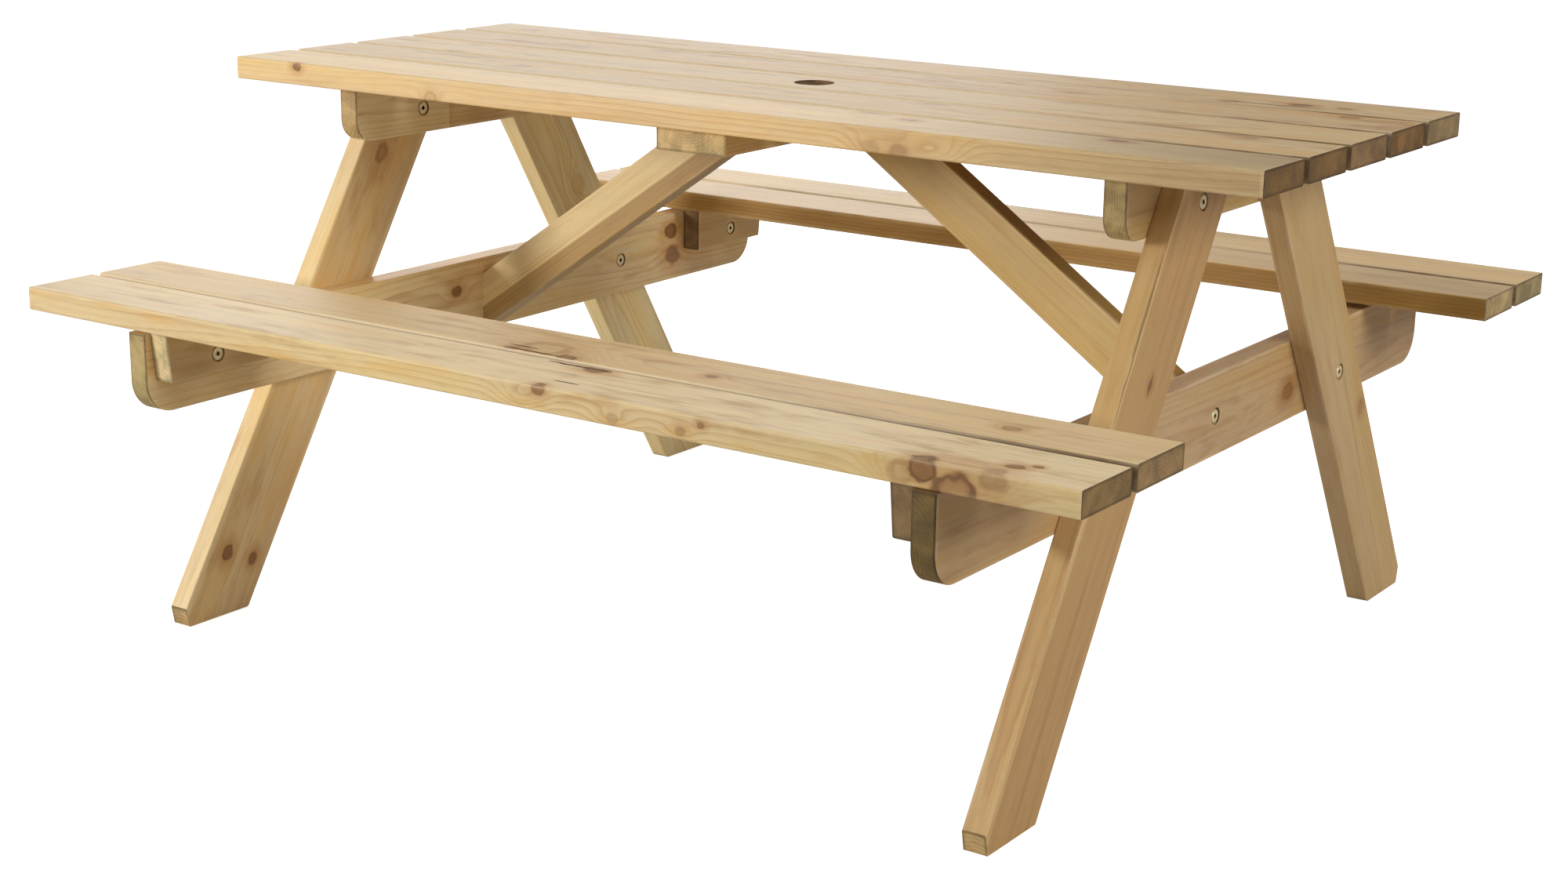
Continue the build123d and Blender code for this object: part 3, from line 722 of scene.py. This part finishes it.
# Knots by timber: place (mm), axis, radius (m), darkness of the core and strength of the bark ring, 0 to 1.
KNOTS = {
    "top_board_1_front": [
        (mm(-690, TOP_EDGE, 750), Y, 0.005, 1.0, 0.8),
        (mm(-434, TOP_EDGE, 727), Y, 0.007, 0.2, 0.4),
        (mm(289, TOP_EDGE, 732), Y, 0.010, 0.30, 0.1),
        (mm(330, TOP_EDGE, 727), Y, 0.012, 0.55, 0.3),
        (mm(382, TOP_EDGE, 735), Y, 0.012, 0.0, 0.0),
        (mm(217, -198, TOP), Z, 0.008, 0.5, 0.3),
        (mm(294, -224, TOP), Z, 0.007, 0.8, 0.5),
        (mm(581, -212, TOP), Z, 0.009, 0.7, 0.6),
    ],
    "top_board_2": [
        (mm(238, -72, TOP), Z, 0.008, 0.7, 0.5),
        (mm(-424, -121, TOP), Z, 0.009, 0.4, 0.4),
        (mm(694, -90, TOP), Z, 0.008, 0.4, 0.4),
    ],
    "top_board_3_centre": [
        (mm(-619, -45, TOP), Z, 0.009, 0.5, 0.4),
        (mm(-641, 35, TOP), Z, 0.008, 0.4, 0.3),
    ],
    "top_board_4": [
        (mm(-508, 115, TOP), Z, 0.010, 0.4, 0.3),
        (mm(-377, 170, TOP), Z, 0.012, 0.5, 0.3),
        (mm(716, 159, TOP), Z, 0.010, 0.4, 0.5),
        (mm(800, 104, 738), X, 0.012, 0.8, 0.8),
    ],
    "top_board_5_back": [
        (mm(530, 205, TOP), Z, 0.008, 0.5, 0.5),
        (mm(620, 228, TOP), Z, 0.011, 0.8, 0.6),
        (mm(680, 232, TOP), Z, 0.008, 0.5, 0.4),
        (mm(-720, 242, TOP), Z, 0.010, 0.4, 0.3),
    ],
    "bench_front_outer_board": [
        (mm(91, SEAT_EDGE, 474), Y, 0.007, 0.9, 0.9),
        (mm(64, SEAT_EDGE, 462), Y, 0.010, 0.05, 0.1),
        (mm(98, -604, SEAT), Z, 0.011, 0.9, 0.8),
        (mm(300, SEAT_EDGE, 458), Y, 0.006, 0.5, 0.1),
        (mm(328, SEAT_EDGE, 469), Y, 0.004, 0.8, 0.3),
        (mm(201, SEAT_EDGE, 457), Y, 0.008, 0.35, 0.0),
        (mm(594, SEAT_EDGE, 462), Y, 0.012, 0.20, 0.4),
        (mm(621, SEAT_EDGE, 469), Y, 0.012, 1.0, 1.0),
        (mm(656, SEAT_EDGE, 449), Y, 0.019, 0.55, 1.0),
        (mm(706, SEAT_EDGE, 470), Y, 0.012, 0.50, 0.3),
        (mm(711, -669, SEAT), Z, 0.007, 0.9, 0.7),
        (mm(731, -655, SEAT), Z, 0.004, 0.9, 0.7),
    ],
    "bench_front_inner_board": [
        (mm(-20, -556, SEAT), Z, 0.024, 0.0, 0.45),
        (mm(-58, -577, SEAT), Z, 0.007, 0.9, 0.8),
        (mm(30, -577, SEAT), Z, 0.010, 0.9, 0.9),
        (mm(226, -546, SEAT), Z, 0.006, 1.0, 0.6),
        (mm(630, -535, SEAT), Z, 0.008, 0.5, 0.5),
    ],
    "leg_left_front": [
        (mm(LEFT_LEG, -534, 89), X, 0.008, 1.0, 0.9),
        (mm(LEFT_LEG, -487, 70), X, 0.007, 1.0, 0.9),
        (mm(LEFT_LEG, -196, 619), X, 0.011, 0.6, 0.5),
    ],
    "seat_beam_left": [
        (mm(LEFT_BEAM, -75, 395), X, 0.008, 1.0, 0.8),
        (mm(LEFT_BEAM, 463, 410), X, 0.010, 1.0, 1.0),
        (mm(LEFT_BEAM, 467, 368), X, 0.013, 0.9, 0.8),
    ],
    "seat_beam_right": [(mm(RIGHT_BEAM, 226, 367), X, 0.010, 1.0, 0.9)],
    "leg_right_front": [(mm(RIGHT_LEG, -260, 478), X, 0.005, 0.7, 0.5)],
    "leg_right_back": [(mm(RIGHT_LEG, 413, 314), X, 0.007, 0.5, 0.5)],
    "leg_left_back": [(mm(LEFT_LEG, 256, 513), X, 0.012, 0.1, 0.1)],
}

FRONT_RIGHT_LEG = timbers["leg_right_front"]
# Splits and dark lines along the grain: place (mm), the way across, the face, length and width (m).
CRACKS = {
    "top_board_1_front": [
        (mm(238, -206, TOP), Y, Z, 0.045, 0.0012),
        (mm(300, -226, TOP), Y, Z, 0.030, 0.0012),
        (mm(581, -212, TOP), Y, Z, 0.050, 0.0016),
    ],
    "top_board_2": [
        (mm(240, -70, TOP), Y, Z, 0.070, 0.0018),
        (mm(-420, -119, TOP), Y, Z, 0.050, 0.0010),
    ],
    "top_board_4": [
        (mm(560, 150, TOP), Y, Z, 0.050, 0.0012),
        (mm(-380, 168, TOP), Y, Z, 0.060, 0.0010),
    ],
    "top_board_5_back": [
        (mm(598, 206, TOP), Y, Z, 0.130, 0.0026),
        (mm(500, 236, TOP), Y, Z, 0.300, 0.0014),
    ],
    "bench_front_outer_board": [
        (mm(10, -592, SEAT), Y, Z, 0.090, 0.0028),
        (mm(72, -603, SEAT), Y, Z, 0.100, 0.0036),
        (mm(108, -674, SEAT), Y, Z, 0.040, 0.0024),
    ],
    "bench_front_inner_board": [
        (mm(-52, -562, SEAT), Y, Z, 0.050, 0.0026),
        (mm(-20, -577, SEAT), Y, Z, 0.090, 0.0026),
        (mm(482, -552, SEAT), Y, Z, 0.030, 0.0010),
    ],
    "leg_right_front": [
        (FRONT_RIGHT_LEG.point(0.200, 0.0550, 0.016), FRONT_RIGHT_LEG.across, X, 0.330, 0.0009),
        (mm(RIGHT_LEG, -260, 478), FRONT_RIGHT_LEG.across, X, 0.028, 0.0018),
    ],
}

for name, timber in timbers.items():
    dress(name, timber_material(timber, KNOTS.get(name, ()), CRACKS.get(name, ()), **LOOKS.get(name, {})))


# ------------------------------------------------------------------ yellow zinc
ZINC, ZINC_WORN = srgb(250, 232, 186), srgb(232, 204, 144)
SCREW, SCREW_WORN = srgb(214, 190, 134), srgb(180, 150, 96)
SOCKET_SHADE = srgb(84, 66, 40)
SOCKET_LIP, SOCKET_DEEP = 0.0005, 0.0012      # depths in a socket where the painted shade starts and is full
CLOUD_SCALE, GRIT_SCALE = 180.0, 1400.0
GRIT_HEIGHT = 0.00002

# Flanged fasteners, and which end of each one, counted from the middle of the table, carries the flange.
FLANGE_END = {"bolts_leg_to_top_beam": max, "bolts_leg_to_seat_beam": max, "coach_screws_braces": max,
              "sleeve_nuts_top_beam": min, "sleeve_nuts_seat_beam": min, "coach_screws_cleats": min}


def zinc_material(name, base, worn, head_face=None):
    """Yellow zinc. Heads that face along X at head_face from the middle have painted shade deep in their
    sockets.
    """
    material, g, shader = new_material(name)
    place = g.node("ShaderNodeTexCoord").outputs["Object"]
    cloud = g.noise(g.vector("SCALE", place, scale=CLOUD_SCALE), 3.0, 0.6)
    grit = g.noise(g.vector("SCALE", place, scale=GRIT_SCALE), 3.0)
    colour = g.mix(g.smooth(cloud, 0.3, 0.7), base, worn)
    if head_face is not None:
        # painted shade, darker deeper in the socket
        behind = g.absolute(g.sub(g.absolute(g.split(place)[0]), head_face))
        colour = g.mix(g.smooth(behind, SOCKET_LIP, SOCKET_DEEP), colour, SOCKET_SHADE)
    g.feed(shader["Base Color"], colour)
    g.feed(shader["Roughness"], g.add(0.30, g.mul(grit, 0.20)))
    g.feed(shader["Metallic"], 0.6)
    g.feed(shader["Normal"], g.bump(g.mul(grit, GRIT_HEIGHT)))
    return material


screw_zinc = zinc_material("screw_zinc", SCREW, SCREW_WORN)
for name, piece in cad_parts.items():
    if name in FLANGE_END:
        head_face = FLANGE_END[name](abs(vertex.co.x) for vertex in piece.data.vertices)
        dress(name, zinc_material("yellow_zinc_" + name, ZINC, ZINC_WORN, head_face))
    elif name not in timbers:
        dress(name, screw_zinc)


# ------------------------------------------------------------------ floor, light and camera
FLOOR_REACH, FLOOR_DROP = 60.0, 0.0005        # from its middle to its sides, and below the feet
FLOOR_DARK, FLOOR_PALE = grey_colour(0.57), grey_colour(0.61)
FLOOR_SCALE = 1.5
FLOOR_GLOW = 0.85
ROOM_LOW, ROOM_HIGH = 0.068, 0.408            # light of the room below its horizon and overhead

# Lamps: place, width and height, power in watts and colour.
LAMPS = {
    "key": ((-3.0, -4.4, 1.7), (1.4, 1.2), 146, (1.0, 0.99, 0.98)),
    "right": ((6.5, -0.8, 3.4), (3.0, 2.6), 255, (0.97, 1.0, 1.06)),
    "wall": ((-3.15, 3.1, 1.4), (3.4, 2.6), 80, (1.0, 1.0, 1.0)),
}
LAMP_TARGET = Vector((0, 0, 0.5))

CAMERA_PLACE = (1.9662, -2.9301, 1.2086)
CAMERA_TURN, CAMERA_DOWN, CAMERA_ROLL = 34.426, 15.293, 0.8065     # degrees: to the right, down and over
CAMERA_LENS, CAMERA_SENSOR = 58.557, 36.0                          # mm
CAMERA_SIGHT = 200.0


def place_in_scene(name, data):
    thing = bpy.data.objects.new(name, data)
    bpy.context.scene.collection.objects.link(thing)
    return thing


def build_floor():
    """A white studio floor, clear from below. To the camera it glows, so hardly any shadow shows on it."""
    mesh = bpy.data.meshes.new("floor")
    signs = ((-1, -1), (1, -1), (1, 1), (-1, 1))
    corners = [(x * FLOOR_REACH, y * FLOOR_REACH, -FLOOR_DROP) for x, y in signs]
    mesh.from_pydata(corners, [], [(0, 1, 2, 3)])
    floor = place_in_scene("floor", mesh)
    material, g, shader = new_material("floor_white")
    place = g.node("ShaderNodeTexCoord").outputs["Object"]
    shade = g.noise(g.vector("SCALE", place, scale=FLOOR_SCALE))
    g.feed(shader["Base Color"], g.mix(shade, FLOOR_DARK, FLOOR_PALE))
    g.feed(shader["Roughness"], 0.9)
    g.feed(shader["Specular IOR Level"], 0.0)
    g.feed(shader["Emission Color"], grey_colour(1))
    g.feed(shader["Alpha"], g.sub(1.0, g.node("ShaderNodeNewGeometry").outputs["Backfacing"]))
    seen = g.node("ShaderNodeLightPath").outputs["Is Camera Ray"]
    g.feed(shader["Emission Strength"], g.mul(seen, FLOOR_GLOW))
    mesh.materials.append(material)


def build_room():
    """An even room that is brighter overhead. To the camera it is plain white."""
    world = bpy.data.worlds.new("studio")
    bpy.context.scene.world = world
    world.use_nodes = True
    g = Graph(world.node_tree)
    background = world.node_tree.nodes["Background"].inputs
    g.feed(background["Color"], grey_colour(1))
    height = g.split(g.node("ShaderNodeTexCoord").outputs["Generated"])[2]
    room = g.smooth(height, -0.1, 0.7, ROOM_LOW, ROOM_HIGH)
    seen = g.node("ShaderNodeLightPath").outputs["Is Camera Ray"]
    g.feed(background["Strength"], g.math("MULTIPLY_ADD", seen, g.sub(1.0, room), room))


def build_lamps():
    """A soft box at the front left, a weaker one at the right, and a bright wall at the back left, which
    gives the boards their sheen."""
    for name, (place, size, power, colour) in LAMPS.items():
        light = bpy.data.lights.new(name, "AREA")
        light.shape = "RECTANGLE"
        light.size, light.size_y = size
        light.energy = power
        light.color = colour
        lamp = place_in_scene(name, light)
        lamp.location = place
        lamp.rotation_euler = (LAMP_TARGET - Vector(place)).to_track_quat("-Z", "Y").to_euler()


def build_camera():
    """The photo's viewing angle, with the camera rolled a little about its own line of sight."""
    turn, down, roll = (math.radians(angle) for angle in (CAMERA_TURN, CAMERA_DOWN, CAMERA_ROLL))
    back = Vector((math.sin(turn) * math.cos(down), -math.cos(turn) * math.cos(down), math.sin(down)))
    right = Vector((math.cos(turn), math.sin(turn), 0))
    up = back.cross(right)
    rolled_right = right * math.cos(roll) + up * math.sin(roll)
    rolled_up = up * math.cos(roll) - right * math.sin(roll)
    data = bpy.data.cameras.new("camera")
    data.lens = CAMERA_LENS
    data.sensor_width = CAMERA_SENSOR
    data.clip_end = CAMERA_SIGHT
    camera = place_in_scene("camera", data)
    stand = Matrix((rolled_right, rolled_up, back)).transposed().to_4x4()
    stand.translation = CAMERA_PLACE
    camera.matrix_world = stand
    bpy.context.scene.camera = camera


build_floor()
build_room()
build_lamps()
build_camera()
bpy.context.scene.view_settings.view_transform = "Standard"
